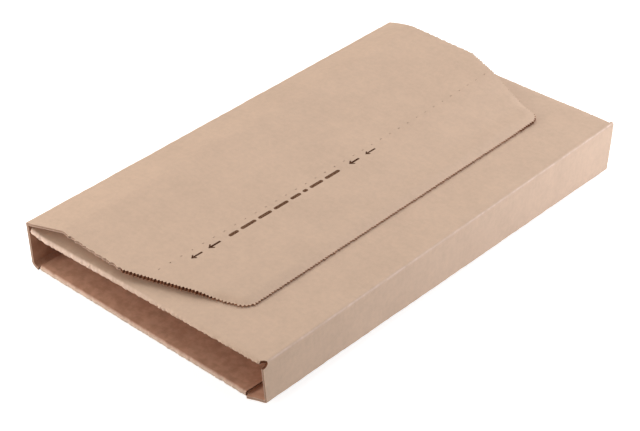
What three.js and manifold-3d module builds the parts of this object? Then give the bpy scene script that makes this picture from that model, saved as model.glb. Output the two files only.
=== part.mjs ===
// A wraparound mailer: one sheet of thin corrugated board, folded round a flat product and sealed.
// The sheet starts as an inner panel under the flap, turns down the right side, runs under the
// product as the base, comes up the left side and ends as an outer flap stuck down on the inner
// panel. Both short ends stay open, and the ends of the base and the inner panel are folded in flat.
// Millimetres: X runs across the mailer, Y along its creases from the near end, Z up from the base.
import * as THREE from "three";
import { mergeGeometries, mergeVertices } from "three/addons/utils/BufferGeometryUtils.js";
import Module from "manifold-3d";

const wasm = await Module();
wasm.setup();

// Overall. The filled mailer stands higher at its far end, so many sizes come as a near and far pair.
const LENGTH = 308;
const TOP_WIDTH = 175;
const BOARD = 1.6;
const TOP_HEIGHT = { near: 28.4, far: 36.1 };
const RIGHT_CREASE_DROP = 0.7;

// Side walls. Each turns in at a lower crease and meets the base at a floor crease.
const LEFT_LOWER_IN = { near: 3.6, far: 1.2 };
const LEFT_LOWER_UP = { near: 2.0, far: 5.5 };
const LEFT_FLOOR_IN = { near: 8.3, far: 2.8 };
const RIGHT_LOWER_OUT = { near: 3.6, far: 0.2 };
const RIGHT_LOWER_UP = { near: 4.9, far: 2.2 };
const RIGHT_FLOOR_IN = { near: 10.6, far: 2.6 };

// Inner panel, with its free edge tucked against the left wall
const UNDER_FLAP_GAP = { near: 3.4, far: 2.5 };
const FREE_EDGE_GAP = 0.4;
const FREE_EDGE_CURL = 1.5;
const CURL_WIDTH = 8;

// Outer flap: second crease, bulge over the height of the top-left crease, and outline
const SECOND_CREASE = { near: 23.4, far: 21.6 };
const SECOND_CREASE_RISE = { near: 3.5, far: 8.0 };
const BULGE = [
  { across: 46, near: 2.2, far: 7.9 },
  { across: 70, near: 1.7, far: 7.5 },
  { across: 95, near: 1.2, far: 6.8 },
  { across: 108, near: 1.2, far: 3.4 },
];
const FLARE_POWER = 4;
const FLAP_REACH = { near: 138.4, far: 139.4 };
const FLAP_INSET = 4.5;
const FLAP_SHOULDER = 70;
const FLAP_SLANT = 24;
const FLAP_CORNER = 6.5;
const TOOTH_PITCH = 2;
const TOOTH_DEPTH = 0.8;

// Tear line: short nicks through the flap
const TEAR_LINE = { near: 83.8, far: 91.4 };
const TEAR_MARGIN = 11;
const NICK_LENGTH = 1.6;
const NICK_WIDTH = 0.4;
const NICK_PITCH = 8;

// Folded-in ends, and the relief notches beside their folds
const HEM_DEPTH = 45;
const HEM_SLIT = 0.3;
const HEM_SIDE = 1.6;
const RELIEF_WIDTH = 1.2;
const EDGE_TRIM = 0.8;
const NOTCH_RADIUS = 3.4;

// Self-seal adhesive between flap and inner panel
const SEAL_WIDTH = 9;
const SEAL_THICKNESS = 0.5;
const SEAL_CLEARANCE = 0.2;
const SEAL_SETBACK = 3;
const SEAL_MARGIN = 38;

// Folds are short curves that start this far to each side of the crease
const HARD_FOLD = 1.1 * BOARD;
const SOFT_FOLD = 3;
const BULGE_FOLD = 5;
const FOLD_STEPS = 5;
const LENGTH_STEPS = 14;
const HEM_STEPS = 8;

const sealGap = SEAL_THICKNESS + 2 * SEAL_CLEARANCE;
const hemRadius = BOARD + HEM_SLIT / 2;
const along = (pair, y) => THREE.MathUtils.lerp(pair.near, pair.far, y / LENGTH);

// A solid from a closed geometry, turned so that its faces point outwards.
function solidOf(geometry) {
  const bare = geometry.index ? geometry.toNonIndexed() : geometry.clone();
  bare.deleteAttribute("normal");
  bare.deleteAttribute("uv");
  const merged = mergeVertices(bare, 1e-4);
  const make = (triVerts) => {
    const vertProperties = merged.attributes.position.array;
    return new wasm.Manifold(new wasm.Mesh({ numProp: 3, vertProperties, triVerts }));
  };
  const triVerts = new Uint32Array(merged.index.array);
  const solid = make(triVerts);
  return solid.volume() > 0 ? solid : make(triVerts.reverse());
}

// A solid through rings of THREE.Vector3, one ring at each station. flat gives a ring's points as
// the Vector2 outline that its end caps are filled from.
function loft(rings, flat) {
  const count = rings[0].length;
  const index = [];
  for (let r = 0; r < rings.length - 1; r++) {
    for (let i = 0; i < count; i++) {
      const a = r * count + i;
      const b = r * count + ((i + 1) % count);
      index.push(a, a + count, b, b, a + count, b + count);
    }
  }
  const outline = rings[0].map(flat);
  const forwards = THREE.ShapeUtils.isClockWise(outline);
  const addCap = (ring, start, turned) => {
    for (const [a, b, c] of THREE.ShapeUtils.triangulateShape(ring.map(flat), [])) {
      index.push(start + a, start + (turned ? c : b), start + (turned ? b : c));
    }
  };
  addCap(rings[0], 0, forwards);
  addCap(rings.at(-1), (rings.length - 1) * count, !forwards);
  const geometry = new THREE.BufferGeometry().setFromPoints(rings.flat());
  geometry.setIndex(index);
  return solidOf(geometry);
}

const stations = (from, to, steps) =>
  Array.from({ length: steps + 1 }, (_, i) => THREE.MathUtils.lerp(from, to, i / steps));

// Outer face of the inner panel, which slopes down from the right crease to the left wall.
function innerTop(x, y) {
  const leftDrop = BOARD + along(UNDER_FLAP_GAP, y);
  const drop = THREE.MathUtils.lerp(leftDrop, RIGHT_CREASE_DROP, x / TOP_WIDTH);
  return along(TOP_HEIGHT, y) - drop;
}

// The inner panel stops just short of the left wall, which leans over it.
function freeEdge(y) {
  const drop = BOARD + along(UNDER_FLAP_GAP, y);
  return (along(LEFT_LOWER_IN, y) * drop) / along(TOP_HEIGHT, y) + BOARD + FREE_EDGE_GAP;
}

// The same face with its curl towards the free edge.
function curledTop(x, y) {
  const share = THREE.MathUtils.clamp(1 - (x - freeEdge(y)) / CURL_WIDTH, 0, 1);
  return innerTop(x, y) + share * FREE_EDGE_CURL;
}

// Outer face of the flap where it lies on the seal
const sealedTop = (x, y) => innerTop(x, y) + sealGap + BOARD;
const sealInner = (y) => along(FLAP_REACH, y) - SEAL_SETBACK - SEAL_WIDTH;

// The creases and soft bends of the whole sheet at a distance y from the near end, in the order
// in which it is wrapped, as points of its outer face.
function creases(y) {
  const top = along(TOP_HEIGHT, y);
  const flare = Math.pow(y / LENGTH, FLARE_POWER);
  const rise = (pair) => top + THREE.MathUtils.lerp(pair.near, pair.far, flare);
  const edge = freeEdge(y);
  const sealStart = sealInner(y) - SOFT_FOLD;
  const end = along(FLAP_REACH, y) + 2 * TOOTH_DEPTH;
  return [
    { x: edge, z: curledTop(edge, y), fold: 0 },
    { x: edge + CURL_WIDTH, z: curledTop(edge + CURL_WIDTH, y), fold: SOFT_FOLD },
    { x: TOP_WIDTH, z: innerTop(TOP_WIDTH, y), fold: HARD_FOLD },
    { x: TOP_WIDTH + along(RIGHT_LOWER_OUT, y), z: along(RIGHT_LOWER_UP, y), fold: HARD_FOLD },
    { x: TOP_WIDTH - along(RIGHT_FLOOR_IN, y), z: 0, fold: HARD_FOLD },
    { x: along(LEFT_FLOOR_IN, y), z: 0, fold: HARD_FOLD },
    { x: along(LEFT_LOWER_IN, y), z: along(LEFT_LOWER_UP, y), fold: HARD_FOLD },
    { x: 0, z: top, fold: HARD_FOLD },
    { x: along(SECOND_CREASE, y), z: rise(SECOND_CREASE_RISE), fold: SOFT_FOLD },
    ...BULGE.map((bend) => ({ x: bend.across, z: rise(bend), fold: BULGE_FOLD })),
    { x: sealStart, z: sealedTop(sealStart, y), fold: SOFT_FOLD },
    { x: end, z: sealedTop(end, y), fold: 0 },
  ];
}

// The outer face's line through the creases, each one rounded into a short curve.
function foldedLine(bends) {
  const points = bends.map((bend) => new THREE.Vector2(bend.x, bend.z));
  const line = [points[0]];
  for (let i = 1; i < points.length - 1; i++) {
    const towards = (other) => {
      const share = Math.min(bends[i].fold / points[i].distanceTo(other), 0.45);
      return points[i].clone().lerp(other, share);
    };
    const start = towards(points[i - 1]);
    const finish = towards(points[i + 1]);
    line.push(...new THREE.QuadraticBezierCurve(start, points[i], finish).getPoints(FOLD_STEPS));
  }
  line.push(points.at(-1));
  return line;
}

// The section of the board along an outer line, closed by its inner face one board deeper.
function boardRing(line, y) {
  const directions = line.slice(1).map((p, i) => p.clone().sub(line[i]).normalize());
  const inner = line.map((p, i) => {
    const before = directions[Math.max(i - 1, 0)];
    const after = directions[Math.min(i, directions.length - 1)];
    const mean = before.clone().add(after).normalize();
    const depth = BOARD / mean.dot(before);
    return new THREE.Vector2(p.x + mean.y * depth, p.y - mean.x * depth);
  });
  return [...line, ...inner.reverse()].map((p) => new THREE.Vector3(p.x, y, p.y));
}

const acrossSection = (p) => new THREE.Vector2(p.x, p.z);
const alongSection = (p) => new THREE.Vector2(p.y, p.z);

function wrappedSheet() {
  const rings = stations(0, LENGTH, LENGTH_STEPS).map((y) => boardRing(foldedLine(creases(y)), y));
  return loft(rings, acrossSection);
}

// The flap's toothed edge, from the near shoulder round the front to the far shoulder.
function toothedEdge() {
  const cornerIn = FLAP_INSET + FLAP_SLANT;
  const near = new THREE.Vector2(along(FLAP_REACH, cornerIn), cornerIn);
  const far = new THREE.Vector2(along(FLAP_REACH, LENGTH - cornerIn), LENGTH - cornerIn);
  const nearShoulder = new THREE.Vector2(FLAP_SHOULDER, FLAP_INSET);
  const farShoulder = new THREE.Vector2(FLAP_SHOULDER, LENGTH - FLAP_INSET);
  const beside = (corner, other) =>
    corner.clone().lerp(other, Math.min(FLAP_CORNER / corner.distanceTo(other), 0.45));
  const path = new THREE.Path([nearShoulder, beside(near, nearShoulder)]);
  const nearEnd = beside(near, far);
  const farStart = beside(far, near);
  const farEnd = beside(far, farShoulder);
  path.quadraticCurveTo(near.x, near.y, nearEnd.x, nearEnd.y);
  path.lineTo(farStart.x, farStart.y);
  path.quadraticCurveTo(far.x, far.y, farEnd.x, farEnd.y);
  path.lineTo(farShoulder.x, farShoulder.y);
  const halfTeeth = 2 * Math.round(path.getLength() / TOOTH_PITCH);
  return stations(0, 1, halfTeeth).map((share, i) => {
    const point = path.getPointAt(share);
    const tangent = path.getTangentAt(share);
    const out = i % 2 ? TOOTH_DEPTH : 0;
    return new THREE.Vector2(point.x + tangent.y * out, point.y - tangent.x * out);
  });
}

// Everything above the inner panel and outside the flap's outline: what is cut off the sheet.
function flapWaste() {
  const margin = 2 * BOARD;
  const clear = 3 * SECOND_CREASE_RISE.far;
  const floor = (x, y) => curledTop(x, y) + sealGap / 2;
  const far = Math.max(FLAP_REACH.near, FLAP_REACH.far) + 2 * margin;
  const rings = stations(-margin, LENGTH + margin, LENGTH_STEPS).map((y) => {
    const sill = freeEdge(y) + CURL_WIDTH;
    const start = freeEdge(y) - FREE_EDGE_GAP / 2;
    const corners = [
      [start, floor(start, y)],
      [sill, floor(sill, y)],
      [far, floor(far, y)],
      [far, along(TOP_HEIGHT, y) + clear],
      [start, along(TOP_HEIGHT, y) + clear],
    ];
    return corners.map(([x, z]) => new THREE.Vector3(x, y, z));
  });
  const start = freeEdge(0) + RELIEF_WIDTH;
  const outline = [
    new THREE.Vector2(-margin, -2 * margin),
    new THREE.Vector2(start, -2 * margin),
    new THREE.Vector2(start, 0),
    new THREE.Vector2(SECOND_CREASE.near, FLAP_INSET),
    ...toothedEdge(),
    new THREE.Vector2(SECOND_CREASE.far, LENGTH - FLAP_INSET),
    new THREE.Vector2(start, LENGTH),
    new THREE.Vector2(start, LENGTH + 2 * margin),
    new THREE.Vector2(-margin, LENGTH + 2 * margin),
  ];
  const depth = TOP_HEIGHT.far + 2 * clear;
  const kept = new THREE.ExtrudeGeometry(new THREE.Shape(outline), { depth, bevelEnabled: false });
  return loft(rings, acrossSection).subtract(solidOf(kept));
}

// The tear line's nicks, as upright blades through the flap alone.
function tearNicks() {
  const run = LENGTH - 2 * (FLAP_INSET + TEAR_MARGIN);
  const count = Math.floor(run / NICK_PITCH);
  const blades = stations(-0.5, 0.5, count).map((share) => {
    const y = LENGTH / 2 + share * count * NICK_PITCH;
    const x = along(TEAR_LINE, y);
    const floor = innerTop(x, y) + sealGap / 2;
    const tall = 3 * SECOND_CREASE_RISE.far;
    const blade = new THREE.BoxGeometry(NICK_WIDTH, NICK_LENGTH, tall);
    return blade.translate(x, y, floor + tall / 2);
  });
  return solidOf(mergeGeometries(blades));
}

// One folded-in end. face(x, y) is the panel's outer face, across lists where the hem starts, bends
// and ends, and inward is the side on which the product lies. The hem leaves the panel's end in a
// half round and comes back flat on its inside.
function hem({ face, inward, across, atFarEnd }) {
  const endwise = (y) => (atFarEnd ? LENGTH - y : y);
  const round = (radius) =>
    stations(0, Math.PI, HEM_STEPS).map((turn) => [
      hemRadius - radius * Math.sin(turn),
      hemRadius - radius * Math.cos(turn),
    ]);
  const tongue = BOARD / 4;
  const profile = [
    [hemRadius + 2 * BOARD, tongue],
    [hemRadius, tongue],
    ...round(hemRadius),
    [HEM_DEPTH, 2 * hemRadius],
    [HEM_DEPTH, BOARD + HEM_SLIT],
    ...round(HEM_SLIT / 2).reverse(),
    [hemRadius, BOARD - tongue],
    [hemRadius + 2 * BOARD, BOARD - tongue],
  ];
  const rings = across.map((x) =>
    profile.map(([y, deep]) => {
      const place = endwise(y);
      return new THREE.Vector3(x, place, face(x, place) + inward * deep);
    }),
  );
  return loft(rings, alongSection);
}

// The flat end of a panel is cleared where its hem folds, with a relief notch at each side.
function hemClearance({ face, inward, across, atFarEnd }) {
  const deep = hemRadius + BOARD;
  const low = across[0] - RELIEF_WIDTH;
  const high = across.at(-1) + RELIEF_WIDTH;
  const rings = [low, ...across.slice(1, -1), high].map((x) =>
    [[-BOARD, -BOARD], [hemRadius, -BOARD], [hemRadius, deep], [-BOARD, deep]].map(([y, n]) => {
      const place = atFarEnd ? LENGTH - y : y;
      return new THREE.Vector3(x, place, face(x, place) + inward * n);
    }),
  );
  return loft(rings, alongSection);
}

function panelHems() {
  return [false, true].flatMap((atFarEnd) => {
    const y = atFarEnd ? LENGTH : 0;
    const baseHem = {
      face: () => 0,
      inward: 1,
      across: [LEFT_FLOOR_IN.near + RELIEF_WIDTH, TOP_WIDTH - RIGHT_FLOOR_IN.near - RELIEF_WIDTH],
      atFarEnd,
    };
    const innerHem = {
      face: curledTop,
      inward: -1,
      across: [freeEdge(y) + EDGE_TRIM, freeEdge(y) + CURL_WIDTH, TOP_WIDTH - HARD_FOLD - HEM_SIDE],
      atFarEnd,
    };
    return [baseHem, innerHem];
  });
}

function foldedBoard() {
  let board = wrappedSheet().subtract(flapWaste()).subtract(tearNicks());
  const notch = new THREE.SphereGeometry(NOTCH_RADIUS, 16, 10);
  notch.translate(TOP_WIDTH - BOARD / 2, 0, innerTop(TOP_WIDTH, 0) - BOARD / 2);
  board = board.subtract(solidOf(notch));
  for (const panelHem of panelHems()) {
    board = board.subtract(hemClearance(panelHem)).add(hem(panelHem));
  }
  return board;
}

function sealStrip() {
  const rings = stations(SEAL_MARGIN, LENGTH - SEAL_MARGIN, LENGTH_STEPS).map((y) => {
    const x = sealInner(y);
    const corner = (px, up) => new THREE.Vector3(px, y, innerTop(px, y) + up);
    const low = SEAL_CLEARANCE;
    const high = SEAL_CLEARANCE + SEAL_THICKNESS;
    return [corner(x, low), corner(x + SEAL_WIDTH, low), corner(x + SEAL_WIDTH, high), corner(x, high)];
  });
  return loft(rings, acrossSection);
}

function meshOf(name, solid, material) {
  const { vertProperties, triVerts } = solid.getMesh();
  const geometry = new THREE.BufferGeometry();
  geometry.setAttribute("position", new THREE.BufferAttribute(vertProperties, 3));
  geometry.setIndex(new THREE.BufferAttribute(triVerts, 1));
  const mesh = new THREE.Mesh(geometry, new THREE.MeshStandardMaterial({ flatShading: true, ...material }));
  mesh.name = name;
  return mesh;
}

const mailer = new THREE.Group();
mailer.name = "wraparound_mailer";
mailer.add(
  meshOf("folded_board", foldedBoard(), { color: 0xc9a98a, roughness: 0.85, metalness: 0 }),
  meshOf("self_seal_strip", sealStrip(), { color: 0xe8e0cc, roughness: 0.45, metalness: 0 }),
);

// The origin lies on the base, in the middle of the mailer's outer box.
const box = new THREE.Box3().setFromObject(mailer);
const middle = box.getCenter(new THREE.Vector3());
mailer.position.set(-middle.x, -middle.y, -box.min.z);

export default mailer;
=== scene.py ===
"""A wraparound mailer of kraft board, sealed, on a white studio floor.

The board is one cut sheet. Its outline is drawn flat, filled with a fine net of triangles, and then
folded: a sheet point is (u, y), where u runs round the wrap from the inner panel's free edge to the
front of the flap, and y runs along the creases from the near end. Lengths are in millimetres until
a point is placed in the row frame, which is in metres.
"""

import math

import bpy
import numpy as np
from mathutils import Matrix, Vector
from mathutils.geometry import delaunay_2d_cdt

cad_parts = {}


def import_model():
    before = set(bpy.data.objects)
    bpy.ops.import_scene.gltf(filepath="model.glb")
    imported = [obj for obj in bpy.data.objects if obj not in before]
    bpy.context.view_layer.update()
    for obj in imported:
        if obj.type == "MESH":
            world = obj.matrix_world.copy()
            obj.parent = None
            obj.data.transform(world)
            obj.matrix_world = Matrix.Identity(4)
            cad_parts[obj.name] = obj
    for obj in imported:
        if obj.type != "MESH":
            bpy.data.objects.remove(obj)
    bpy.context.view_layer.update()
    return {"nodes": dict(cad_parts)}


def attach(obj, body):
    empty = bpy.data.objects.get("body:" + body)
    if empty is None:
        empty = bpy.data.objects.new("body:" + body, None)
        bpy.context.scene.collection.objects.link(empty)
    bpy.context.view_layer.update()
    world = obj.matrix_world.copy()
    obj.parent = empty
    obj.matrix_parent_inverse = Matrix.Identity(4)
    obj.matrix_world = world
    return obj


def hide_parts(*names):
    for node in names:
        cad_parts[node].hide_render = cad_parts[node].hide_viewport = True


# Sizes of the folded sheet, as (near end, far end) where the two differ
LENGTH = 308.0
TOP_WIDTH = 175.0
BOARD = 1.6
TOP_HEIGHT = (28.4, 36.1)
RIGHT_CREASE_DROP = 0.7
LEFT_LOWER_IN = (3.6, 1.2)
LEFT_LOWER_UP = (2.0, 5.5)
LEFT_FLOOR_IN = (8.3, 2.8)
RIGHT_LOWER_OUT = (3.6, 0.2)
RIGHT_LOWER_UP = (4.9, 2.2)
RIGHT_FLOOR_IN = (10.6, 2.6)
UNDER_FLAP_GAP = (3.4, 2.5)
FREE_EDGE_GAP = 0.4
FREE_EDGE_CURL = 1.5
CURL_WIDTH = 8.0
SECOND_CREASE = (23.4, 21.6)
SECOND_CREASE_RISE = (3.5, 8.0)
# The outer flap's bulge, as (distance across, rise at the near end, rise at the far end)
BULGE = ((46, 2.2, 7.9), (70, 1.7, 7.5), (95, 1.2, 6.8), (108, 1.2, 3.4))
FLARE_POWER = 4

# The outer flap's outline, and how it comes down on to the seal
FLAP_REACH = (138.4, 139.4)
FLAP_INSET = 4.5
FLAP_SHOULDER = 70.0
FLAP_SLANT = 24.0
FLAP_CORNER = 6.5
FLAP_RAGGED = 0.48
TOOTH_PITCH = 2.0
TOOTH_DEPTH = 0.8
SEAL_GAP = 0.9
SEAL_BACK = 12.0

# Folds are curves that start this far to each side of a crease, up to a share of the panel
HARD_FOLD = 1.1 * BOARD
SOFT_FOLD = 3.0
BULGE_FOLD = 5.0
FOLD_LIMIT = 0.45

# Folded-in ends, whose crumple is given as (inner panel's, base's)
HEM_RADIUS = 1.75
HEM_DEPTH = 45.0
HEM_CRUMPLE = (0.46, 0.24)
RELIEF = 1.2
EDGE_TRIM = 0.8
BASE_HEM = (9.5, 163.2)
INNER_HEM_END = TOP_WIDTH - HARD_FOLD - 1.6
NOTCH_RADIUS = 3.4

# Tear line and print on the flap; an arrow is (start, end, weight) and a bar (start, end) along y
TEAR_LINE = (83.8, 91.4)
TEAR_MARGIN = 11.0
NICK = (0.4, 1.6)
NICK_PITCH = 8.0
PRINT_LINE = (89.3, 94.3)
ARROWS = ((36.0, 44.2, 1.0), (48.8, 57.8, 1.15), (161.7, 170.2, 1.15), (175.8, 184.3, 0.95))
BARS = (
    (64.4, 71.6),
    (73.6, 85.2),
    (87.2, 97.4),
    (99.6, 110.8),
    (113.0, 121.0),
    (123.0, 126.6),
    (128.8, 139.2),
    (141.4, 153.4),
)
BAR_HALF_WIDTH = 1.1

# The cut edge: two liners with the corrugated middle a little behind them, as (share of the
# board's depth, how far it lies back)
FLUTE_PITCH = 3.2
CUT_LAYERS = ((0.14, 0.0), (0.2, 0.1), (0.5, 0.14), (0.8, 0.1), (0.86, 0.0))

# The toothed cut: its torn fibres hang down, and beside the seal it is pressed on to the panel
BURR = 0.6
DROOP = 0.7
DROOP_START = 12.0
PRESSED_EDGE = 0.05
PRESSED_THIN = 0.8
PRESSED_UNDER = 0.1

# How pale each crease is, from the top right round to the top left: partly wear, and partly painted
# highlight, most of all on the top right crease
CREASE_WEAR_AND_HIGHLIGHT = (0.95, 0.3, 0.2, 0.2, 0.3, 0.45)
WEAR_AND_HIGHLIGHT_WIDTH = 0.6

# The net of triangles: the angle between faces that stay sharp, and how many points are tested
# against a line at once, to spare memory
SHARP_ANGLE = 38.0
POINTS_AT_ONCE = 2000

# Colours, as sRGB levels out of 255, with both ends of the range where one varies
OUTER_PAPER = (212, 183, 158)
# Inside the pack the paper is darker and redder: partly the inner liner's colour, partly painted
# shade of the interior
INNER_PAPER_AND_SHADE = ((200, 154, 127), (217, 171, 143))
# Pale paper of worn creases, also used as painted highlight on the creases and the hem folds
WORN_AND_HIGHLIT_PAPER = (238, 212, 198)
CUT_LINER = (208, 182, 164)
# The middle of a cut edge, from its own colour to the painted shade of open flutes
CUT_MIDDLE_AND_HOLLOW_SHADE = ((172, 142, 122), (98, 68, 50))
# Torn fibres on the toothed cut and round the notch, darkened partly as painted shade
TORN_FIBRES_AND_SHADE = ((124, 78, 54), (92, 54, 36))
TORN_TIPS = (204, 150, 114)
INK = ((66, 37, 23), (168, 130, 102))
MELT = ((222, 208, 180), (240, 232, 214))
MELT_BUBBLES = (196, 176, 146)
FLOOR_PAINT = (204, 202, 199)

# Studio, in metres; a lamp is (name, place, what it points at, size, power, tint)
FLOOR_HALF = 6.0
FLOOR_DROP = 0.0004
LAMPS = (
    ("key", (-0.42, 0.64, 0.93), (0, 0, 0.02), (1.3, 1.3), 11.8, (1, 1, 1.035)),
    ("front", (-0.25, -0.6, 0.14), (0, -0.1, 0.02), (0.4, 0.16), 1.75, (1.02, 0.98, 0.96)),
    ("near_fill", (-0.3, -0.3, 0.22), (-0.06, -0.14, 0.03), (0.25, 0.15), 0.2, (1.04, 0.98, 0.94)),
    ("side", (0.45, 0.45, 0.12), (0.09, 0.1, 0.02), (0.3, 0.2), 1.85, (0.95, 1.03, 1.2)),
    ("side_fill", (0.48, 0.08, 0.14), (0.09, 0.06, 0.02), (0.3, 0.2), 0.44, (1, 0.99, 1.03)),
)

# Camera, whose place is in millimetres from the near left corner
FOCAL_PIXELS = 1806.4
IMAGE_WIDTH = 640
SENSOR_WIDTH = 36
CAMERA_PLACE = (633.9, -519.0, 583.1)
CAMERA_RIGHT = (0.75161588, 0.65814583, 0.04379077)
CAMERA_DOWN = (0.39537929, -0.39640041, -0.82857826)
CAMERA_AHEAD = (-0.52796665, 0.64008654, -0.55815808)


def along(pair, y):
    """A size at y, between its values at the near end and at the far end."""
    return pair[0] + (pair[1] - pair[0]) * np.asarray(y) / LENGTH


# The folded section

def inner_top(x, y):
    """Height of the inner panel's outer face."""
    left = BOARD + along(UNDER_FLAP_GAP, y)
    return along(TOP_HEIGHT, y) - left - (RIGHT_CREASE_DROP - left) * x / TOP_WIDTH


def free_edge(y):
    """How far across the inner panel's free edge is, just clear of the left wall."""
    drop = BOARD + along(UNDER_FLAP_GAP, y)
    return along(LEFT_LOWER_IN, y) * drop / along(TOP_HEIGHT, y) + BOARD + FREE_EDGE_GAP


def creases(y):
    """The sheet's creases at each y, in the order of wrapping, as (len(y), creases, 2)."""
    y = np.asarray(y, float)
    top = along(TOP_HEIGHT, y)
    flare = (y / LENGTH) ** FLARE_POWER
    edge = free_edge(y)
    seal = along(FLAP_REACH, y) - SEAL_BACK - SOFT_FOLD
    front = along(FLAP_REACH, y) + 2 * TOOTH_DEPTH
    zero = np.zeros_like(y)

    def rise(near, far):
        return top + near + (far - near) * flare

    points = [
        (edge, inner_top(edge, y) + FREE_EDGE_CURL),
        (edge + CURL_WIDTH, inner_top(edge + CURL_WIDTH, y)),
        (zero + TOP_WIDTH, inner_top(TOP_WIDTH, y)),
        (TOP_WIDTH + along(RIGHT_LOWER_OUT, y), along(RIGHT_LOWER_UP, y)),
        (TOP_WIDTH - along(RIGHT_FLOOR_IN, y), zero),
        (along(LEFT_FLOOR_IN, y), zero),
        (along(LEFT_LOWER_IN, y), along(LEFT_LOWER_UP, y)),
        (zero, top),
        (along(SECOND_CREASE, y), rise(*SECOND_CREASE_RISE)),
        *[(zero + across, rise(near, far)) for across, near, far in BULGE],
        (seal, inner_top(seal, y) + SEAL_GAP + BOARD),
        (front, inner_top(front, y) + SEAL_GAP + BOARD),
    ]
    return np.stack([np.stack(p, -1) for p in points], 1)


FOLDS = np.array(
    [0, SOFT_FOLD] + [HARD_FOLD] * 6 + [SOFT_FOLD] + [BULGE_FOLD] * 4 + [SOFT_FOLD, 0]
)
_middle = creases([LENGTH / 2])[0]
CREASE_U = np.concatenate([[0], np.cumsum(np.linalg.norm(np.diff(_middle, axis=0), axis=1))])
(U_FREE, U_CURL, U_RIGHT, U_RIGHT_LOW, U_RIGHT_FLOOR, U_LEFT_FLOOR, U_LEFT_LOW, U_LEFT, U_SECOND,
 *U_BULGE, U_SEAL, U_FRONT) = CREASE_U
HARD_CREASES = (U_RIGHT, U_RIGHT_LOW, U_RIGHT_FLOOR, U_LEFT_FLOOR, U_LEFT_LOW, U_LEFT)


def section(u, y):
    """Outer face's point (x, z) and unit normal (x, z) at sheet points (u, y) of equal length."""
    p = creases(np.clip(y, 0, LENGTH))
    lengths = np.linalg.norm(np.diff(p, axis=1), axis=2)
    start, finish = p.copy(), p.copy()
    back = np.minimum(FOLDS[1:] / lengths, FOLD_LIMIT)[..., None]
    ahead = np.minimum(FOLDS[:-1] / lengths, FOLD_LIMIT)[..., None]
    start[:, 1:] += (p[:, :-1] - p[:, 1:]) * back
    finish[:, :-1] += (p[:, 1:] - p[:, :-1]) * ahead

    row = np.arange(len(u))
    k = np.clip(np.searchsorted(CREASE_U, u, side="right") - 1, 0, len(CREASE_U) - 2)
    span = CREASE_U[k + 1] - CREASE_U[k]
    t = np.clip((u - CREASE_U[k]) / span, 0, 1)
    share_a = np.minimum(FOLDS[k] / span, FOLD_LIMIT)
    share_b = np.minimum(FOLDS[k + 1] / span, FOLD_LIMIT)
    in_a = t < share_a
    in_b = t > 1 - share_b
    crease = np.where(in_b, k + 1, k)
    w = np.where(
        in_a,
        0.5 + 0.5 * t / np.maximum(share_a, 1e-9),
        0.5 * (t - 1 + share_b) / np.maximum(share_b, 1e-9),
    )[:, None]
    a, c, b = start[row, crease], p[row, crease], finish[row, crease]
    curve = (1 - w) ** 2 * a + 2 * w * (1 - w) * c + w**2 * b
    curve_tangent = (1 - w) * (c - a) + w * (b - c)
    m = ((t - share_a) / np.maximum(1 - share_a - share_b, 1e-9))[:, None]
    from_a, to_b = finish[row, k], start[row, k + 1]
    folded = (in_a | in_b)[:, None]
    point = np.where(folded, curve, from_a + (to_b - from_a) * m)
    tangent = np.where(folded, curve_tangent, to_b - from_a)
    tangent = tangent / np.linalg.norm(tangent, axis=1)[:, None]
    return point, np.stack([-tangent[:, 1], tangent[:, 0]], 1)


def sheet_u(x, y, first, last):
    """The u at which the sheet between first and last passes x, at each y."""
    x, y = np.broadcast_arrays(np.atleast_1d(x), np.atleast_1d(y))
    us = np.linspace(first, last, 400)
    out = []
    for px, py in zip(x, y):
        line, _ = section(us, np.full_like(us, py))
        xs = line[:, 0]
        order = slice(None) if xs[-1] > xs[0] else slice(None, None, -1)
        out.append(np.interp(px, xs[order], us[order]))
    return np.array(out)


def hem_ranges():
    """(first u, last u, at the far end) of each folded-in end."""
    found = []
    for far in (False, True):
        y = LENGTH - HEM_RADIUS if far else HEM_RADIUS
        inner = sheet_u([free_edge(y) + EDGE_TRIM, INNER_HEM_END], y, U_FREE, U_RIGHT)
        base = sheet_u(BASE_HEM, y, U_RIGHT_FLOOR, U_LEFT_FLOOR)
        found += [(inner[0], inner[1], far), (base[1], base[0], far)]
    return found


HEMS = hem_ranges()

# How far a hem of the flat sheet reaches past the start of its fold
HEM_OUT = math.pi * HEM_RADIUS + HEM_DEPTH - HEM_RADIUS


def past_hem(hem, u, y):
    """Which points lie within a hem's width, and how far each is past the start of its fold."""
    first, last, far = hem
    past = y - (LENGTH - HEM_RADIUS) if far else HEM_RADIUS - y
    return (u > first - 1e-4) & (u < last + 1e-4), past


def falloff(away, width):
    """1 on a line, a third at this width from it, and almost 0 at twice the width."""
    return np.exp(-((away / width) ** 2))


def ripple(u, y, length, seed):
    """Smooth unevenness, mostly between -1 and 1, with features about as long as length."""
    chance = np.random.default_rng(seed)
    total = np.zeros(np.broadcast(u, y).shape)
    waves = 7
    for _ in range(waves):
        turn, pace, phase = chance.uniform([0, 0.6, 0], [2 * math.pi, 1.6, 2 * math.pi])
        rate = 2 * math.pi * pace / length
        total = total + np.sin(rate * (u * math.cos(turn) + y * math.sin(turn)) + phase)
    return total / (waves / 2)


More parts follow.
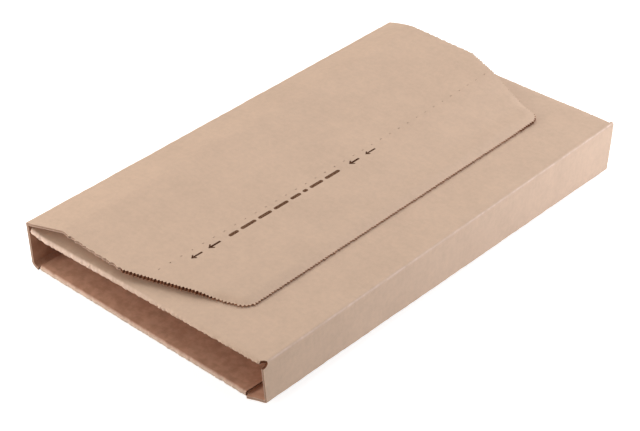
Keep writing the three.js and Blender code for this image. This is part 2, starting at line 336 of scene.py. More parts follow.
def unevenness(u, y):
    """How far the handled board stands off its true shape, along its outward normal. It stays
    inside the true shape on the outer faces, and close to it where the flap is glued."""
    swells = 0.09 * ripple(u, y, 46, 1)
    dimples = 0.035 * ripple(u, y, 13, 2)
    out = swells + dimples
    for i, crease in enumerate(HARD_CREASES):
        away = np.abs(u - crease)
        wavering = 0.10 * ripple(y, y, 9, 20 + i) * falloff(away, 2.2)
        pressed_lines = 0.13 * falloff(away - 3.9, 0.9)
        out = out + wavering - pressed_lines
    outside = (u > U_CURL) & (u < U_SECOND)
    out = np.where(outside, np.minimum(out - 0.1, 0), out)
    return np.where(u > U_SEAL - 4, np.clip(out, -0.08, 0.06), out)


def flat_share(u):
    """How much flatter a hem is pressed. The inner panel's hems grow flatter to the right."""
    return np.where(u < U_RIGHT, 0.34 * np.clip((u - 45) / 90, 0, 1), 0.06)


def place(u, y, depth):
    """Row-frame points, in metres, of sheet points that lie depth under the outer face."""
    end, under = y.copy(), depth.copy()
    for hem in HEMS:
        on, past = past_hem(hem, u, y)
        folded, far = on & (past > 0), hem[2]
        turn = np.minimum(past / HEM_RADIUS, math.pi)
        radius = HEM_RADIUS - depth
        run = np.maximum(past - math.pi * HEM_RADIUS, 0)
        inset = HEM_RADIUS - radius * np.sin(turn) + run
        end = np.where(folded, LENGTH - inset if far else inset, end)
        under = np.where(folded, HEM_RADIUS - radius * np.cos(turn), under)

        # The fold's front crumples inward, and its turn is pressed flatter and a little loose
        much = np.where(u < U_RIGHT, *HEM_CRUMPLE)
        crumple = 0.28 * ripple(u, u, 9, 31) + much * ripple(u, u, 3.2, 32) - 0.3
        crinkle = np.where(folded, np.sin(turn) * np.minimum(crumple, 0), 0)
        end = end + (crinkle if far else -crinkle)
        flatter = 1 - flat_share(u) * np.sin(turn / 2) ** 2
        loose = 0.8 * much * ripple(u, u, 3.3, 33) * np.sin(turn)
        under = np.maximum(np.where(folded, under * flatter + loose, under), 0)
    end = np.clip(end, 0, LENGTH)
    point, normal = section(u, end)
    point = point + normal * (unevenness(u, end) - under)[:, None]
    return np.stack([point[:, 0] - MIDDLE_X, end - LENGTH / 2, point[:, 1]], 1) / 1000


def middle_x():
    """Half way between the two sides of the true shape."""
    us = np.linspace(0, U_FRONT, 4000)
    xs = np.concatenate([section(us, np.full_like(us, y))[0][:, 0] for y in (0, LENGTH)])
    return (xs.min() + xs.max()) / 2


MIDDLE_X = middle_x()


# The flat sheet

def toothed_edge(depth=1.5 * TOOTH_DEPTH):
    """Points (x, y) of the flap's toothed edge, from the near shoulder to the far one."""
    corner = FLAP_INSET + FLAP_SLANT
    near = np.array([along(FLAP_REACH, corner), corner])
    far = np.array([along(FLAP_REACH, LENGTH - corner), LENGTH - corner])
    shoulders = np.array([[FLAP_SHOULDER, FLAP_INSET], [FLAP_SHOULDER, LENGTH - FLAP_INSET]])

    def beside(point, other):
        share = min(FLAP_CORNER / np.linalg.norm(other - point), FOLD_LIMIT)
        return point + (other - point) * share

    def bend(a, c, b):
        w = np.linspace(0, 1, 24)[:, None]
        return (1 - w) ** 2 * a + 2 * w * (1 - w) * c + w**2 * b

    line = np.concatenate([
        shoulders[:1],
        bend(beside(near, shoulders[0]), near, beside(near, far)),
        bend(beside(far, near), far, beside(far, shoulders[1])),
        shoulders[1:],
    ])
    steps = np.linalg.norm(np.diff(line, axis=0), axis=1)
    reach = np.concatenate([[0], np.cumsum(steps)])
    teeth = round(reach[-1] / TOOTH_PITCH)
    at = np.linspace(0, reach[-1], teeth * 8 + 1)
    points = np.stack([np.interp(at, reach, line[:, i]) for i in (0, 1)], 1)
    ahead = np.gradient(points, axis=0)
    ahead /= np.linalg.norm(ahead, axis=1)[:, None]
    wave = 0.5 - 0.5 * np.cos(2 * math.pi * teeth * at / reach[-1])
    out = depth * wave**0.8 * np.clip(0.8 + 0.35 * ripple(at, at, 6, 7), 0.3, 1.2)
    out *= np.clip(np.minimum(at, reach[-1] - at) / 1.0, 0, 1)
    return points + np.stack([ahead[:, 1], -ahead[:, 0]], 1) * out[:, None]


def flap_u(points):
    """The flap's points (x, y) as sheet points (u, y)."""
    points = np.asarray(points, float)
    return np.stack([sheet_u(points[:, 0], points[:, 1], U_LEFT + 0.01, U_FRONT), points[:, 1]], 1)


def sheet_corners():
    """The cut sheet's outline as (u, y) corners, anticlockwise."""
    near_inner, near_base, far_inner, far_base = HEMS
    low, high = HEM_RADIUS, LENGTH - HEM_RADIUS

    def near_hem(hem):
        return [(hem[0], low), (hem[0], low - HEM_OUT), (hem[1], low - HEM_OUT), (hem[1], low)]

    def far_hem(hem):
        return [(hem[1], high), (hem[1], high + HEM_OUT), (hem[0], high + HEM_OUT), (hem[0], high)]

    notch = [
        (U_RIGHT + NOTCH_RADIUS * math.cos(a), NOTCH_RADIUS * math.sin(a))
        for a in np.linspace(math.pi - math.asin(low / NOTCH_RADIUS), 0, 15)
    ]
    start = free_edge(0) + RELIEF
    ragged = np.arange(SECOND_CREASE[0] + 3, FLAP_SHOULDER - 1, 0.9)
    in_near = FLAP_INSET + FLAP_RAGGED * ripple(ragged, ragged, 4.2, 51)
    in_far = LENGTH - FLAP_INSET + FLAP_RAGGED * ripple(ragged, ragged, 4.2, 52)
    flap = flap_u([
        (start, 0), (SECOND_CREASE[0], FLAP_INSET), *zip(ragged, in_near),
        *toothed_edge(),
        *zip(ragged[::-1], in_far[::-1]), (SECOND_CREASE[1], LENGTH - FLAP_INSET), (start, LENGTH),
    ])
    return [
        (U_FREE, low), *near_hem(near_inner), *notch,
        (near_base[0] - RELIEF, 0), (near_base[0] - RELIEF, low), *near_hem(near_base),
        (near_base[1] + RELIEF, low), (near_base[1] + RELIEF, 0),
        *map(tuple, flap),
        (far_base[1] + RELIEF, LENGTH), (far_base[1] + RELIEF, high), *far_hem(far_base),
        (far_base[0] - RELIEF, high), (far_base[0] - RELIEF, LENGTH),
        (far_inner[1] + RELIEF, LENGTH), (far_inner[1] + RELIEF, high), *far_hem(far_inner),
        (U_FREE, high),
    ]


def columns():
    """The net's u stations: close together across creases, wide apart on the panels."""
    at = [np.arange(2, U_FRONT, 4.0)]
    fine = np.array([0.3, 0.9, 1.5, 2.1, 2.7, 3.4, 4.1, 4.8, 6.0])
    for crease in HARD_CREASES:
        at.append(crease + np.concatenate([-fine[::-1], fine]))
    for crease in (U_CURL, U_SECOND, U_SEAL):
        at.append(crease + np.linspace(-3.5, 3.5, 8))
    for crease in U_BULGE:
        at.append(crease + np.linspace(-5, 5, 7))
    at = np.sort(np.concatenate(at))
    kept = [at[0]]
    for value in at[1:]:
        if value - kept[-1] > 0.45:
            kept.append(value)
    return np.array(kept)


def rows():
    """The net's y stations, with the folded-in ends beyond both ends of the panels."""
    body = np.linspace(0, LENGTH, 113)
    turn = HEM_RADIUS - np.linspace(0, math.pi, 11) * HEM_RADIUS
    flat = np.linspace(HEM_RADIUS - math.pi * HEM_RADIUS, HEM_RADIUS - HEM_OUT, 8)[1:]
    near = np.concatenate([turn, flat])
    at = np.sort(np.concatenate([body, near, LENGTH - near]))
    return at[np.concatenate([[True], np.diff(at) > 0.2])]


def subdivide(corners, columns_u, rows_y):
    """The outline with points at the net's stations, so that folds bend cleanly at the edge."""
    out = []
    for a, b in zip(corners, corners[1:] + corners[:1]):
        a, b = np.array(a, float), np.array(b, float)
        length = np.linalg.norm(b - a)
        if length < 1e-6:
            continue
        axis = 0 if abs(a[1] - b[1]) < 1e-6 else 1 if abs(a[0] - b[0]) < 1e-6 else None
        if axis is None:
            share = np.linspace(0, 1, max(2, math.ceil(length / 1.2) + 1))[:-1]
        else:
            stations = (columns_u, rows_y)[axis]
            share = (stations - a[axis]) / (b[axis] - a[axis])
            share = np.sort(share[(share > 0.3 / length) & (share < 1 - 0.3 / length)])
            share = np.concatenate([[0], share])
        out += [a + (b - a) * s for s in share]
    return np.array(out)


def inside(points, polygon):
    """Which points lie inside a closed polygon."""
    a, b = polygon, np.roll(polygon, -1, 0)
    found = np.zeros(len(points), bool)
    for i in range(0, len(points), POINTS_AT_ONCE):
        group = slice(i, i + POINTS_AT_ONCE)
        x, y = points[group, 0, None], points[group, 1, None]
        cross = (a[:, 1] > y) != (b[:, 1] > y)
        with np.errstate(divide="ignore", invalid="ignore"):
            at = a[:, 0] + (b[:, 0] - a[:, 0]) * (y - a[:, 1]) / (b[:, 1] - a[:, 1])
        found[group] = (cross & (x < at)).sum(1) % 2 == 1
    return found


def gap_to_line(points, line):
    """Each point's distance to an open line."""
    a, side = line[:-1], np.diff(line, axis=0)
    squared = (side**2).sum(1)
    found = np.zeros(len(points))
    for i in range(0, len(points), POINTS_AT_ONCE):
        group = slice(i, i + POINTS_AT_ONCE)
        away = points[group, None] - a
        t = np.clip((away * side).sum(2) / squared, 0, 1)
        found[group] = ((away - t[..., None] * side) ** 2).sum(2).min(1) ** 0.5
    return found


def clear_of(points, polygon, gap):
    """Which points keep this gap to a polygon's sides."""
    return gap_to_line(points, np.concatenate([polygon, polygon[:1]])) > gap


def crush(verts):
    """What the toothed die and the glue do to each sheet point, from 0 to 1: how far it is pressed
    thin and given the dark torn colour, partly as painted shade, lies down on the inner panel,
    hangs in torn fibres, and is paler, on the tooth tips and along the glued rim."""
    u, y = verts.T
    away = np.full(len(verts), 99.0)
    tip = np.zeros(len(verts))
    on_flap = np.nonzero(u > U_SECOND + 30)[0]
    away[on_flap] = gap_to_line(verts[on_flap], flap_u(toothed_edge()[::4]))
    from_root = gap_to_line(verts[on_flap], flap_u(toothed_edge(0)[::16]))
    tip[on_flap] = np.where(away[on_flap] < 0.8, np.clip(from_root / TOOTH_DEPTH, 0, 1), 0)

    # Round the notch the cut edge also takes the dark torn colour, as painted shade of the notch,
    # and the board is pressed thinner there
    from_notch = np.hypot(u - U_RIGHT, y) - NOTCH_RADIUS
    pressed_and_shaded = falloff(away, 1.7) + falloff(from_notch, 0.8)
    glued = np.clip((u - U_SEAL + DROOP_START) / DROOP_START, 0, 1)
    glued *= np.clip((LENGTH - y - 15) / 40, 0.3, 1)
    drooping = glued * falloff(away, 2.2)
    burr = falloff(away, 0.7) * np.clip((u - U_SECOND - 45) / 6, 0, 1)
    return pressed_and_shaded, drooping, burr, np.maximum(0.75 * tip, drooping)


def ellipse(x, y, wide, tall, count=8):
    turn = np.linspace(0, 2 * math.pi, count, endpoint=False)
    return np.stack([x + wide / 2 * np.cos(turn), y + tall / 2 * np.sin(turn)], 1)


def nicks():
    """Outlines (u, y) of the tear line's short cuts."""
    run = LENGTH - 2 * (FLAP_INSET + TEAR_MARGIN)
    count = math.floor(run / NICK_PITCH)
    at = LENGTH / 2 + np.linspace(-0.5, 0.5, count + 1) * count * NICK_PITCH
    return [flap_u(ellipse(along(TEAR_LINE, y), y, *NICK)) for y in at]


def arrow(y0, y1, weight):
    """An arrow that points to the near end, as an outline in x and y round the print line."""
    head, half, thick = 2.4 * weight, 1.85 * weight, 0.58 * weight
    return np.array([
        (0, y0), (half, y0 + head), (half * 0.72, y0 + head + 0.7), (thick, y0 + head * 0.85),
        (thick, y1), (-thick, y1), (-thick, y0 + head * 0.85), (-half * 0.72, y0 + head + 0.7),
        (-half, y0 + head),
    ])


def bar(y0, y1):
    """A plain bar with rounded ends, as an outline in x and y round the print line."""
    r = BAR_HALF_WIDTH
    turn = np.linspace(0, math.pi, 6)
    low = np.stack([r * np.cos(turn), y0 + r - r * np.sin(turn)], 1)
    high = np.stack([-r * np.cos(turn), y1 - r + r * np.sin(turn)], 1)
    return np.concatenate([low, high])


def print_marks():
    """Outlines (u, y) of the printed arrows, and then of the bars."""
    marks = []
    for shape in [arrow(*a) for a in ARROWS] + [bar(*b) for b in BARS]:
        across = shape[:, 0] + along(PRINT_LINE, shape[:, 1])
        marks.append(flap_u(np.stack([across, shape[:, 1]], 1)))
    return marks


def net_points(us, ys, outline, loops):
    """Points of the net's grid, finer on the hems' turns, clear of all cut and printed lines."""
    grid = np.stack(np.meshgrid(us, ys, indexing="ij"), -1).reshape(-1, 2)
    turn = np.concatenate([ys[ys < HEM_RADIUS + 0.1], ys[ys > LENGTH - HEM_RADIUS - 0.1]])
    turn = turn[(turn > -5) & (turn < LENGTH + 5)]
    between = us[:-1, None] + np.diff(us)[:, None] * np.array([0.25, 0.5, 0.75])
    between = between[np.diff(us) > 3]
    fine = np.stack(np.meshgrid(between.ravel(), turn, indexing="ij"), -1).reshape(-1, 2)
    grid = np.concatenate([grid, fine])
    grid = grid[inside(grid, outline)]
    grid = grid[clear_of(grid, outline, 0.3)]
    for loop in loops:
        grid = grid[clear_of(grid, loop, 0.35) & ~inside(grid, loop)]
    return grid


def flat_net():
    """Vertices (u, y), triangles, and each triangle's ink: 0 for none, 1 an arrow's, 2 a bar's."""
    us, ys = columns(), rows()
    outline = subdivide(sheet_corners(), us, ys)
    holes, marks = nicks(), print_marks()
    grid = net_points(us, ys, outline, holes + marks)
    points, edges = [grid], []
    count = len(grid)
    for loop in [outline] + holes + marks:
        edges += [(count + i, count + (i + 1) % len(loop)) for i in range(len(loop))]
        points.append(loop)
        count += len(loop)
    coords = [Vector(p) for p in np.concatenate(points)]
    verts, _, faces, *_ = delaunay_2d_cdt(coords, edges, [], 0, 1e-5, False)
    verts, faces = np.array([tuple(v) for v in verts]), np.array(faces)
    middles = verts[faces].mean(1)
    kept = inside(middles, outline)
    for loop in holes:
        kept &= ~inside(middles, loop)
    faces, middles = faces[kept], middles[kept]
    ink = np.zeros(len(faces), np.int32)
    for i, loop in enumerate(marks):
        ink[inside(middles, loop)] = 1 if i < len(ARROWS) else 2
    a, b, c = (verts[faces[:, i]] for i in range(3))
    turned = np.cross(b - a, c - a) < 0
    faces[turned] = faces[turned][:, ::-1]
    return verts, faces, ink


# The board as a mesh

def cut_loops(faces):
    """Directed edges round the net's cut sides, with the sheet on their left."""
    directed = np.concatenate([faces[:, [0, 1]], faces[:, [1, 2]], faces[:, [2, 0]]])
    seen = {tuple(e) for e in directed}
    return np.array([e for e in map(tuple, directed) if (e[1], e[0]) not in seen])


def into_sheet(verts, edges):
    """The vertices on cut sides, and at each of them the unit direction into the sheet."""
    side = verts[edges[:, 1]] - verts[edges[:, 0]]
    side /= np.linalg.norm(side, axis=1)[:, None]
    inward = np.zeros_like(verts)
    for end in (0, 1):
        np.add.at(inward, edges[:, end], np.stack([-side[:, 1], side[:, 0]], 1))
    cut = np.unique(edges)
    inward[cut] /= np.maximum(np.linalg.norm(inward[cut], axis=1), 1e-9)[:, None]
    return cut, inward


def edge_walls(edges, cut, count):
    """Quads down every cut side, from the outer face past each layer to the inner face."""
    number = np.full(count, -1)
    number[cut] = np.arange(len(cut))
    layers = [2 * count + k * len(cut) + number[edges] for k in range(len(CUT_LAYERS))]
    rings = [edges, *layers, edges + count]
    walls = [
        np.stack([upper[:, 1], upper[:, 0], lower[:, 0], lower[:, 1]], 1)
        for upper, lower in zip(rings, rings[1:])
    ]
    return np.concatenate(walls)


def board_mesh():
    """The folded board, with its sheet as the UV map and all that its materials read stored."""
    verts, faces, ink = flat_net()
    count = len(verts)
    edges = cut_loops(faces)
    cut, inward = into_sheet(verts, edges)
    pressed_and_shaded, drooping, burr, pale = crush(verts)
    top = (PRESSED_EDGE + PRESSED_THIN * drooping) * pressed_and_shaded + DROOP * drooping
    bottom = BOARD + (DROOP - PRESSED_UNDER * pressed_and_shaded) * drooping + BURR * burr * (1 - drooping)

    flat, layer = [verts, verts], [np.zeros(count), np.ones(count)]
    points = [place(*verts.T, top), place(*verts.T, bottom)]
    for share, back in CUT_LAYERS:
        at = verts[cut] + inward[cut] * back
        flat.append(at)
        layer.append(np.full(len(cut), share))
        points.append(place(*at.T, (top + (bottom - top) * share)[cut]))
    points, flat, layer = np.concatenate(points), np.concatenate(flat), np.concatenate(layer)

    mesh = bpy.data.meshes.new("wrapped_board")
    inner_faces = faces[:, ::-1] + count
    walls = edge_walls(edges, cut, count)
    mesh.from_pydata(points.tolist(), [], faces.tolist() + inner_faces.tolist() + walls.tolist())
    mesh.validate()
    loops = np.zeros(len(mesh.loops), int)
    mesh.loops.foreach_get("vertex_index", loops)
    sheet = mesh.uv_layers.new(name="sheet")
    sheet.data.foreach_set("uv", (flat[loops] / 1000).astype(np.float32).ravel())

    def with_edges(values):
        return np.concatenate([values, values] + [values[cut]] * len(CUT_LAYERS))

    # The flutes run round the wrap, so they end open where a cut side faces that way
    flute_end = np.abs(inward[:, 0])
    store(mesh, "layer", layer)
    store(mesh, "flute_end", with_edges(flute_end))
    # Where the die pressed, and round the notch: the dark torn colour, partly painted shade
    store(mesh, "pressed_and_shaded", with_edges(pressed_and_shaded))
    store(mesh, "pale", with_edges(pale))
    # Paler creases and hem folds: partly wear, partly painted highlight
    store(mesh, "wear_and_highlight", wear_and_highlight(*flat.T))
    # Inner faces, and hem faces turned inside, take the darker lining: partly painted shade of the
    # interior
    store(mesh, "within", np.maximum(layer, folded_in(*flat.T)))
    slots = np.zeros(len(mesh.polygons), np.int32)
    slots[: len(faces)] = ink
    mesh.polygons.foreach_set("material_index", slots)
    mesh.shade_smooth()
    mesh.set_sharp_from_angle(angle=math.radians(SHARP_ANGLE))
    return mesh


def wrapped_board():
    """The board as an object, with the materials of its paper, its arrows and its bars."""
    board = bpy.data.objects.new("wrapped_board", board_mesh())
    bpy.context.scene.collection.objects.link(board)
    board.data.materials.append(kraft_board())
    board.data.materials.append(print_ink("print_ink", 0.48, 0.55))
    board.data.materials.append(print_ink("thin_ink", 0.38, 0.62))
    return board


def store(mesh, name, values):
    """Keep a value for each of the mesh's vertices, for its materials to read."""
    attribute = mesh.attributes.new(name, "FLOAT", "POINT")
    attribute.data.foreach_set("value", np.asarray(values, np.float32))


def folded_in(u, y):
    """How far a sheet point has gone round a hem, from 0 to 1."""
    out = np.zeros(len(u))
    for hem in HEMS:
        on, past = past_hem(hem, u, y)
        gone = np.clip(past / (math.pi * HEM_RADIUS), 0, 1)
        out = np.where(on, np.maximum(out, gone), out)
    return out


def wear_and_highlight(u, y):
    """How pale the creases and the hems' folds are, from 0 to 1: partly wear, and partly painted
    highlight.
    """
    out = np.zeros(len(u))
    patchy = 0.7 + 0.4 * ripple(y, y, 9, 40)
    for crease, much in zip(HARD_CREASES, CREASE_WEAR_AND_HIGHLIGHT):
        out = np.maximum(out, much * patchy * falloff(u - crease, WEAR_AND_HIGHLIGHT_WIDTH))
    for hem in HEMS:
        on, past = past_hem(hem, u, y)
        turn = np.clip(past / HEM_RADIUS, 0, math.pi)
        # On the inner panel's hems the paling is painted highlight on the rounded fold, strongest
        # at the left and fading to the right as painted light falloff
        much = np.where(u < U_RIGHT, np.clip(1.1 - u / 150, 0.15, 0.9), 0.6)
        much = much * (0.8 + 0.2 * ripple(u, turn, 2.6, 41))
        out = np.maximum(out, np.where(on & (past < 9), much * np.sin(turn) ** 0.6, 0))
    return np.clip(out, 0, 1)


# Materials

def colour(levels):
    """A shader colour from sRGB levels out of 255."""
    def channel(v):
        v /= 255
        return v / 12.92 if v <= 0.04045 else ((v + 0.055) / 1.055) ** 2.4
    return (*map(channel, levels), 1.0)


class Nodes:
    """The node tree of a material or a world, built with short calls."""

    def __init__(self, owner):
        self.owner = owner
        owner.use_nodes = True
        self.tree = owner.node_tree
        self.tree.nodes.clear()

    def feed(self, socket, value):
        if isinstance(value, bpy.types.NodeSocket):
            self.tree.links.new(value, socket)
        else:
            socket.default_value = value

    def add(self, kind, settings=None, **inputs):
        """A node, with its inputs fed by name (Base_Color=...) or by number (_0=...)."""
        node = self.tree.nodes.new("ShaderNode" + kind)
        for key, value in (settings or {}).items():
            setattr(node, key, value)
        for key, value in inputs.items():
            name = int(key[1:]) if key[0] == "_" else key.replace("_", " ")
            self.feed(node.inputs[name], value)
        return node

    def math(self, operation, a, b=0.0, c=0.0):
        return self.add("Math", {"operation": operation}, _0=a, _1=b, _2=c).outputs[0]

    def remap(self, value, low, high, to_low=0.0, to_high=1.0):
        node = self.add("MapRange", {"interpolation_type": "SMOOTHSTEP"}, Value=value,
                        From_Min=low, From_Max=high, To_Min=to_low, To_Max=to_high)
        return node.outputs[0]

    def noise(self, vector, scale, detail=2.0, roughness=0.5):
        node = self.add("TexNoise", {"noise_dimensions": "3D"}, Vector=vector, Scale=scale,
                        Detail=detail, Roughness=roughness)
        return node.outputs[0]

    def stretched(self, vector, scale):
        return self.add("Mapping", Vector=vector, Scale=scale).outputs[0]

    def mix(self, factor, a, b):
        return self.add("Mix", {"data_type": "RGBA"}, _0=factor, _6=a, _7=b).outputs[2]

    def attribute(self, name):
        return self.add("Attribute", {"attribute_name": name}).outputs["Fac"]

    def bump(self, height, strength, distance):
        return self.add("Bump", Strength=strength, Distance=distance, Height=height).outputs[0]

    def seen_by(self, *rays):
        """1 for the named kinds of ray, and 0 for all others."""
        path = self.add("LightPath")
        seen = 0.0
        for ray in rays:
            seen = self.math("MAXIMUM", seen, path.outputs[f"Is {ray} Ray"])
        return seen

    def finish(self, shader, output="OutputMaterial"):
        self.add(output, Surface=shader)
        return self.owner


def material_nodes(name):
    return Nodes(bpy.data.materials.new(name))


def flute_wave(nodes, y, sway=0.0):
    """The flutes' wave along the sheet's y, which is in metres."""
    return nodes.math("SINE", nodes.math("MULTIPLY_ADD", y, 2000 * math.pi / FLUTE_PITCH, sway))


def kraft_surface(nodes):
    """Tone and height of kraft liner, with its fibres, clouds, specks and faint flutes, and the
    sheet's place that they are laid on."""
    sheet = nodes.add("UVMap", {"uv_map": "sheet"}).outputs[0]
    y = nodes.add("SeparateXYZ", Vector=sheet).outputs[1]
    clouds = nodes.noise(sheet, 34, 3, 0.55)
    patches = nodes.noise(sheet, 120, 3, 0.55)
    mottle = nodes.noise(sheet, 330, 4, 0.6)
    fibres = nodes.noise(nodes.stretched(sheet, (2600, 420, 1)), 1, 3, 0.6)
    hairs = nodes.noise(nodes.stretched(sheet, (900, 3400, 1)), 1, 2, 0.5)
    specks = nodes.remap(nodes.noise(sheet, 1250, 1, 0.4), 0.70, 0.80)
    flutes = flute_wave(nodes, y, nodes.math("MULTIPLY", clouds, 2.2))

    tone = 1.0
    for part, low, high, much in (
        (clouds, 0.3, 0.7, 0.026),
        (patches, 0.32, 0.68, 0.017),
        (mottle, 0.32, 0.68, 0.024),
        (fibres, 0.3, 0.7, 0.016),
        (hairs, 0.3, 0.7, 0.012),
        (flutes, -1, 1, 0.004),
    ):
        tone = nodes.math("ADD", tone, nodes.remap(part, low, high, -much, much))
    tone = nodes.math("MULTIPLY_ADD", specks, -0.10, tone)
    height = nodes.math("MULTIPLY_ADD", mottle, 0.35, nodes.math("MULTIPLY", fibres, 0.30))
    height = nodes.math("MULTIPLY_ADD", flutes, 0.08, height)
    return sheet, y, tone, height


def paper_shader(nodes, base, tone, roughness, specular, normal):
    """The finished material of a matt paper with this colour under the kraft's tone."""
    tinted = nodes.add("VectorMath", {"operation": "SCALE"}, _0=base, Scale=tone).outputs[0]
    shader = nodes.add("BsdfPrincipled", Base_Color=tinted, Roughness=roughness,
                       Specular_IOR_Level=specular, Normal=normal)
    return nodes.finish(shader.outputs[0])


def face_colour(nodes, sheet):
    """The liners' colour: redder and darker inside the pack, partly the inner liner's own colour
    and partly painted shade of the dim interior, and paler at creases and hem folds, partly wear
    and partly painted highlight.
    """
    within = nodes.remap(nodes.attribute("within"), 0.55, 0.9)
    blotches = nodes.remap(nodes.noise(sheet, 150, 3, 0.6), 0.36, 0.64)
    # Darker, redder lining: partly its own colour, partly painted shade
    lining_and_shade = nodes.mix(blotches, *map(colour, INNER_PAPER_AND_SHADE))
    paper = nodes.mix(within, colour(OUTER_PAPER), lining_and_shade)
    paling_patches = nodes.remap(nodes.noise(sheet, 420, 3, 0.6), 0.35, 0.65, 0.5, 1.0)
    # Creases and hem folds mixed towards a pale colour: partly wear, partly painted highlight
    worn_and_highlit = nodes.math("MULTIPLY", nodes.attribute("wear_and_highlight"), nodes.math("MULTIPLY", paling_patches, 0.95))
    return nodes.mix(worn_and_highlit, paper, colour(WORN_AND_HIGHLIT_PAPER))


def cut_colour(nodes, sheet, y, layer, from_liner):
    """A cut edge's colour: pale liners, with the waves of the middle between them painted dark
    where the flutes end open, as painted shade in the hollows; and dark torn brown fibres where the
    die has pressed the board and round the notch, partly painted shade, paler on the tooth tips and
    the glued rim."""
    # Where the flutes end open, the hollows between the liners are painted as dark waves: painted
    # shade
    wave = nodes.math("MULTIPLY_ADD", flute_wave(nodes, y), 0.3, 0.5)
    off = nodes.math("ABSOLUTE", nodes.math("SUBTRACT", layer, wave))
    hollow = nodes.remap(off, 0.06, 0.2)
    open_end = nodes.math("MULTIPLY", nodes.attribute("flute_end"), hollow)
    rough = nodes.remap(nodes.noise(sheet, 900, 3, 0.7), 0.35, 0.65, 0.0, 0.3)
    dark = nodes.math("MAXIMUM", nodes.math("MULTIPLY", open_end, 0.85), rough)
    core = nodes.mix(dark, *map(colour, CUT_MIDDLE_AND_HOLLOW_SHADE))
    edge = nodes.mix(nodes.remap(from_liner, 0.15, 0.2), colour(CUT_LINER), core)

    fibres = nodes.remap(nodes.noise(sheet, 650, 2, 0.6), 0.38, 0.62)
    # Dark torn brown: partly the torn fibres, partly painted shade of the teeth, the gap under them
    # and the notch
    torn_and_shaded = nodes.mix(fibres, *map(colour, TORN_FIBRES_AND_SHADE))
    pale = nodes.remap(nodes.attribute("pale"), 0.5, 1.0, 0, 0.5)
    torn_and_shaded = nodes.mix(pale, torn_and_shaded, colour(TORN_TIPS))
    return nodes.mix(nodes.remap(nodes.attribute("pressed_and_shaded"), 0.5, 0.9), edge, torn_and_shaded)


def kraft_board():
    nodes = material_nodes("kraft_board")
    sheet, y, tone, height = kraft_surface(nodes)
    layer = nodes.attribute("layer")
    from_liner = nodes.math("MINIMUM", layer, nodes.math("SUBTRACT", 1.0, layer))
    on_edge = nodes.remap(from_liner, 0.01, 0.05)
    edge = cut_colour(nodes, sheet, y, layer, from_liner)
    paper = nodes.mix(on_edge, face_colour(nodes, sheet), edge)
    roughness = nodes.remap(tone, 0.88, 1.1, 0.78, 0.9)
    return paper_shader(nodes, paper, tone, roughness, 0.15, nodes.bump(height, 0.35, 0.00012))


def print_ink(name, solid, bare):
    """Dark brown ink that has sunk into the kraft, so that fibres show through it: above the noise
    level solid they start to show, and bare is how much of them shows at most."""
    nodes = material_nodes(name)
    sheet, _, tone, height = kraft_surface(nodes)
    thin = nodes.remap(nodes.noise(sheet, 1500, 3, 0.7), solid, solid + 0.24)
    ink = nodes.mix(nodes.math("MULTIPLY", thin, bare), *map(colour, INK))
    return paper_shader(nodes, ink, tone, 0.85, 0.02, nodes.bump(height, 0.3, 0.0001))


def hot_melt():
    """A squeezed strip of cream hot melt, slightly glossy, with tails and bubbles."""
    nodes = material_nodes("hot_melt")
    spot = nodes.add("TexCoord").outputs["Object"]
    swirl = nodes.noise(nodes.stretched(spot, (260, 60, 200)), 1, 4, 0.6)
    bubbles = nodes.remap(nodes.noise(spot, 900, 2, 0.5), 0.62, 0.7)
    cream = nodes.mix(nodes.remap(swirl, 0.35, 0.65), *map(colour, MELT))
    base = nodes.mix(nodes.math("MULTIPLY", bubbles, 0.4), cream, colour(MELT_BUBBLES))
    height = nodes.math("MULTIPLY_ADD", bubbles, -0.5, swirl)
    shader = nodes.add("BsdfPrincipled", Base_Color=base, Roughness=0.42,
                       Normal=nodes.bump(height, 0.4, 0.0002))
    return nodes.finish(shader.outputs[0])


# Studio

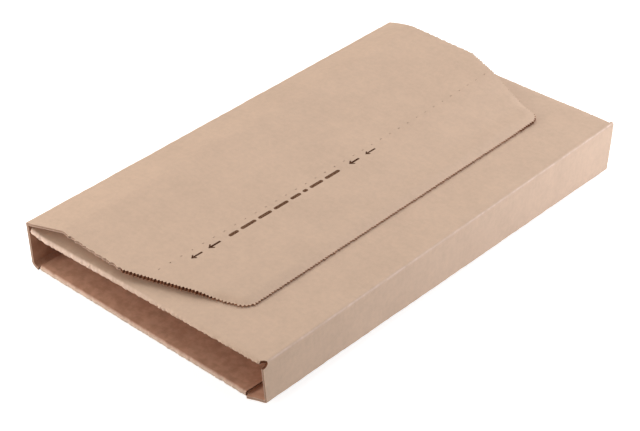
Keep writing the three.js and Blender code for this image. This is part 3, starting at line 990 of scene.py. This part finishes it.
def white_floor():
    """A pale floor that the camera sees as white, with the object's soft shadow on it."""
    mesh = bpy.data.meshes.new("floor")
    corners = [(FLOOR_HALF * x, FLOOR_HALF * y, 0) for x, y in ((-1, -1), (1, -1), (1, 1), (-1, 1))]
    mesh.from_pydata(corners, [], [(0, 1, 2, 3)])
    floor = bpy.data.objects.new("floor", mesh)
    floor.location.z = -FLOOR_DROP
    bpy.context.scene.collection.objects.link(floor)
    nodes = material_nodes("studio_floor")
    seen = nodes.seen_by("Camera", "Glossy", "Transmission")
    diffuse = nodes.add("BsdfDiffuse", Color=colour(FLOOR_PAINT))
    glow = nodes.add("Emission", Color=(1, 1, 1, 1), Strength=nodes.math("MULTIPLY", seen, 0.78))
    both = nodes.add("AddShader", _0=diffuse.outputs[0], _1=glow.outputs[0])
    floor.data.materials.append(nodes.finish(both.outputs[0]))


def world():
    """Even studio light, behind which the camera sees white."""
    nodes = Nodes(bpy.data.worlds.new("studio"))
    light = nodes.add("Background", Color=(1.0, 0.985, 0.97, 1), Strength=0.26)
    white = nodes.add("Background", Color=(1, 1, 1, 1))
    seen = nodes.seen_by("Camera", "Glossy")
    mix = nodes.add("MixShader", _0=seen, _1=light.outputs[0], _2=white.outputs[0])
    bpy.context.scene.world = nodes.finish(mix.outputs[0], "OutputWorld")


def softbox(name, spot, target, size, power, tint):
    light = bpy.data.lights.new(name, "AREA")
    light.shape = "RECTANGLE"
    light.size, light.size_y = size
    light.energy = power
    light.color = tint
    lamp = bpy.data.objects.new(name, light)
    lamp.location = spot
    lamp.rotation_euler = (Vector(target) - Vector(spot)).to_track_quat("-Z", "Y").to_euler()
    bpy.context.scene.collection.objects.link(lamp)


def camera():
    data = bpy.data.cameras.new("camera")
    data.sensor_fit = "HORIZONTAL"
    data.sensor_width = SENSOR_WIDTH
    data.lens = SENSOR_WIDTH * FOCAL_PIXELS / IMAGE_WIDTH
    data.clip_start, data.clip_end = 0.05, 40
    lens = bpy.data.objects.new("camera", data)
    right, up, back = Vector(CAMERA_RIGHT), -Vector(CAMERA_DOWN), -Vector(CAMERA_AHEAD)
    turn = Matrix((right, up, back)).transposed()
    spot = (Vector(CAMERA_PLACE) - Vector((MIDDLE_X, LENGTH / 2, 0))) / 1000
    lens.matrix_world = Matrix.Translation(spot) @ turn.to_4x4()
    bpy.context.scene.collection.objects.link(lens)
    bpy.context.scene.camera = lens


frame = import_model()

camera()
board = wrapped_board()
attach(board, "root")
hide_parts("folded_board")

seal = frame["nodes"]["self_seal_strip"]
seal.material_slots[0].material = hot_melt()

white_floor()
world()
for lamp in LAMPS:
    softbox(*lamp)
bpy.context.scene.view_settings.view_transform = "Standard"
